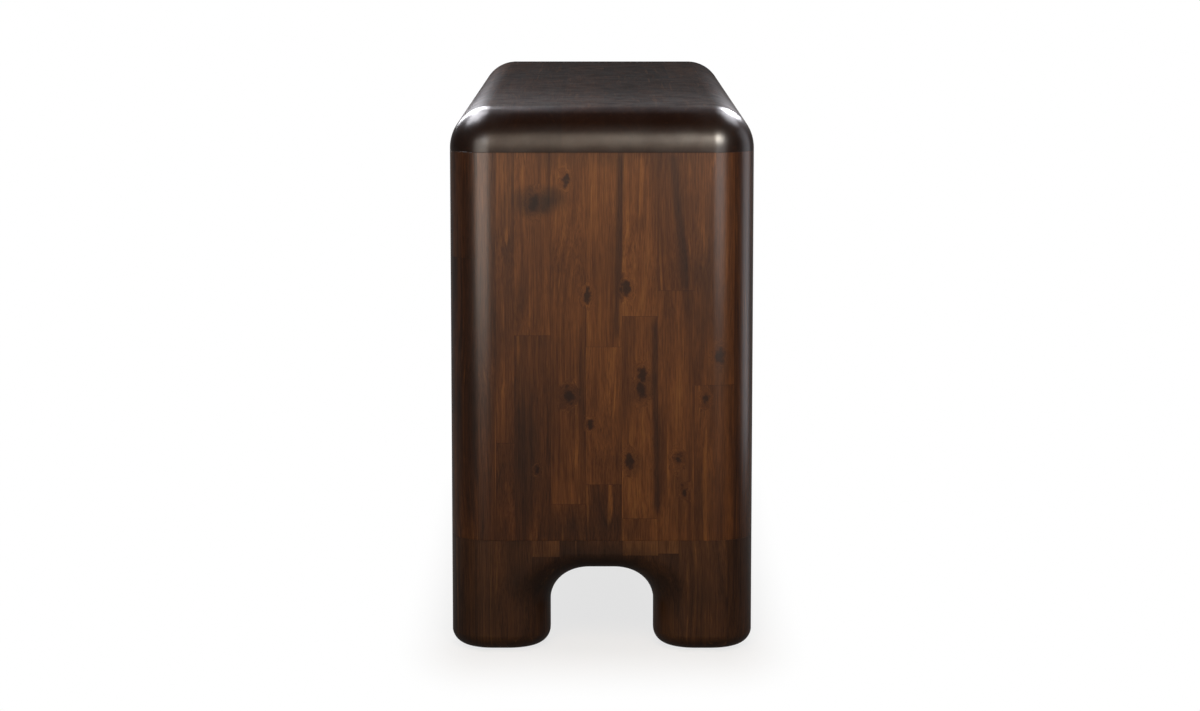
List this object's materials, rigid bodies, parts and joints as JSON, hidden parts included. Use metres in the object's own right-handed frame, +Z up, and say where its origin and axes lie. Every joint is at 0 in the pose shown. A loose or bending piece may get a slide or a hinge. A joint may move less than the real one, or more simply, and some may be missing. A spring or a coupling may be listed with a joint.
{
  "type": "dresser",
  "caption": "Long rounded wooden dresser on arched end bases, with inset handle-less drawers on full-extension slides, for storing clothes.",
  "frame": {"origin": "on the floor, at the middle of the footprint", "axes": "+X along the length to the dresser's right-hand end as seen from the front, -Y towards the front, where the drawers open, +Z up"},
  "size_m": [1.524, 0.457, 0.826],
  "materials": {
    "top_wood": "dark stained boards under satin lacquer",
    "case_wood": "stained edge-glued staves under satin lacquer",
    "base_wood": "dark stained laminated blocks under satin lacquer",
    "front_wood": "stained edge-glued staves under satin lacquer",
    "box_wood": "clear matte lacquer",
    "box_ply": "clear matte lacquer on plywood",
    "panel_ply": "stained plywood, matte",
    "dowel_wood": "bare beech",
    "slide_steel": "zinc-plated rolled steel",
    "screw_steel": "zinc-plated",
    "glide_nylon": "dark nylon"
  },
  "bodies": {
    "case": {"top_slab": "top_wood", "end_panel_left": "case_wood", "end_panel_right": "case_wood", "arch_base_left": "base_wood", "arch_base_right": "base_wood", "front_apron": "base_wood", "back_apron": "base_wood", "bottom_panel": "panel_ply", "centre_partition": "case_wood", "back_panel_left": "panel_ply", "back_panel_right": "panel_ply", "back_rail": "case_wood", "front_rails": "case_wood", "slide_cabinet_members": "slide_steel", "foot_glides": "glide_nylon", "back_screws": "screw_steel", "case_dowels": "dowel_wood"},
    "drawer_bottom_left": {"drawer_bottom_left_front": "front_wood", "drawer_bottom_left_inner_front": "box_wood", "drawer_bottom_left_sides": "box_wood", "drawer_bottom_left_back": "box_wood", "drawer_bottom_left_bottom": "box_ply", "drawer_bottom_left_runners": "slide_steel"},
    "slide_middles_bottom_left": {"slide_middles_bottom_left": "slide_steel"},
    "drawer_bottom_right": {"drawer_bottom_right_front": "front_wood", "drawer_bottom_right_inner_front": "box_wood", "drawer_bottom_right_sides": "box_wood", "drawer_bottom_right_back": "box_wood", "drawer_bottom_right_bottom": "box_ply", "drawer_bottom_right_runners": "slide_steel"},
    "slide_middles_bottom_right": {"slide_middles_bottom_right": "slide_steel"},
    "drawer_middle_left": {"drawer_middle_left_front": "front_wood", "drawer_middle_left_inner_front": "box_wood", "drawer_middle_left_sides": "box_wood", "drawer_middle_left_back": "box_wood", "drawer_middle_left_bottom": "box_ply", "drawer_middle_left_runners": "slide_steel"},
    "slide_middles_middle_left": {"slide_middles_middle_left": "slide_steel"},
    "drawer_middle_right": {"drawer_middle_right_front": "front_wood", "drawer_middle_right_inner_front": "box_wood", "drawer_middle_right_sides": "box_wood", "drawer_middle_right_back": "box_wood", "drawer_middle_right_bottom": "box_ply", "drawer_middle_right_runners": "slide_steel"},
    "slide_middles_middle_right": {"slide_middles_middle_right": "slide_steel"},
    "drawer_top_left": {"drawer_top_left_front": "front_wood", "drawer_top_left_inner_front": "box_wood", "drawer_top_left_sides": "box_wood", "drawer_top_left_back": "box_wood", "drawer_top_left_bottom": "box_ply", "drawer_top_left_runners": "slide_steel"},
    "slide_middles_top_left": {"slide_middles_top_left": "slide_steel"},
    "drawer_top_right": {"drawer_top_right_front": "front_wood", "drawer_top_right_inner_front": "box_wood", "drawer_top_right_sides": "box_wood", "drawer_top_right_back": "box_wood", "drawer_top_right_bottom": "box_ply", "drawer_top_right_runners": "slide_steel"},
    "slide_middles_top_right": {"slide_middles_top_right": "slide_steel"}
  },
  "joints": [
    {"name": "drawer_bottom_left_slide", "type": "slide", "parent": "case", "child": "drawer_bottom_left", "axis": [0, -1, 0], "range_m": [0, 0.4]},
    {"name": "slide_middles_bottom_left_travel", "type": "slide", "parent": "case", "child": "slide_middles_bottom_left", "axis": [0, -1, 0], "range_m": [0, 0.2]},
    {"name": "drawer_bottom_right_slide", "type": "slide", "parent": "case", "child": "drawer_bottom_right", "axis": [0, -1, 0], "range_m": [0, 0.4]},
    {"name": "slide_middles_bottom_right_travel", "type": "slide", "parent": "case", "child": "slide_middles_bottom_right", "axis": [0, -1, 0], "range_m": [0, 0.2]},
    {"name": "drawer_middle_left_slide", "type": "slide", "parent": "case", "child": "drawer_middle_left", "axis": [0, -1, 0], "range_m": [0, 0.4]},
    {"name": "slide_middles_middle_left_travel", "type": "slide", "parent": "case", "child": "slide_middles_middle_left", "axis": [0, -1, 0], "range_m": [0, 0.2]},
    {"name": "drawer_middle_right_slide", "type": "slide", "parent": "case", "child": "drawer_middle_right", "axis": [0, -1, 0], "range_m": [0, 0.4]},
    {"name": "slide_middles_middle_right_travel", "type": "slide", "parent": "case", "child": "slide_middles_middle_right", "axis": [0, -1, 0], "range_m": [0, 0.2]},
    {"name": "drawer_top_left_slide", "type": "slide", "parent": "case", "child": "drawer_top_left", "axis": [0, -1, 0], "range_m": [0, 0.4]},
    {"name": "slide_middles_top_left_travel", "type": "slide", "parent": "case", "child": "slide_middles_top_left", "axis": [0, -1, 0], "range_m": [0, 0.2]},
    {"name": "drawer_top_right_slide", "type": "slide", "parent": "case", "child": "drawer_top_right", "axis": [0, -1, 0], "range_m": [0, 0.4]},
    {"name": "slide_middles_top_right_travel", "type": "slide", "parent": "case", "child": "slide_middles_top_right", "axis": [0, -1, 0], "range_m": [0, 0.2]}
  ],
  "couplings": [
    {"joint": "slide_middles_bottom_left_travel", "follows": "drawer_bottom_left_slide", "ratio": 0.5},
    {"joint": "slide_middles_bottom_right_travel", "follows": "drawer_bottom_right_slide", "ratio": 0.5},
    {"joint": "slide_middles_middle_left_travel", "follows": "drawer_middle_left_slide", "ratio": 0.5},
    {"joint": "slide_middles_middle_right_travel", "follows": "drawer_middle_right_slide", "ratio": 0.5},
    {"joint": "slide_middles_top_left_travel", "follows": "drawer_top_left_slide", "ratio": 0.5},
    {"joint": "slide_middles_top_right_travel", "follows": "drawer_top_right_slide", "ratio": 0.5}
  ]
}
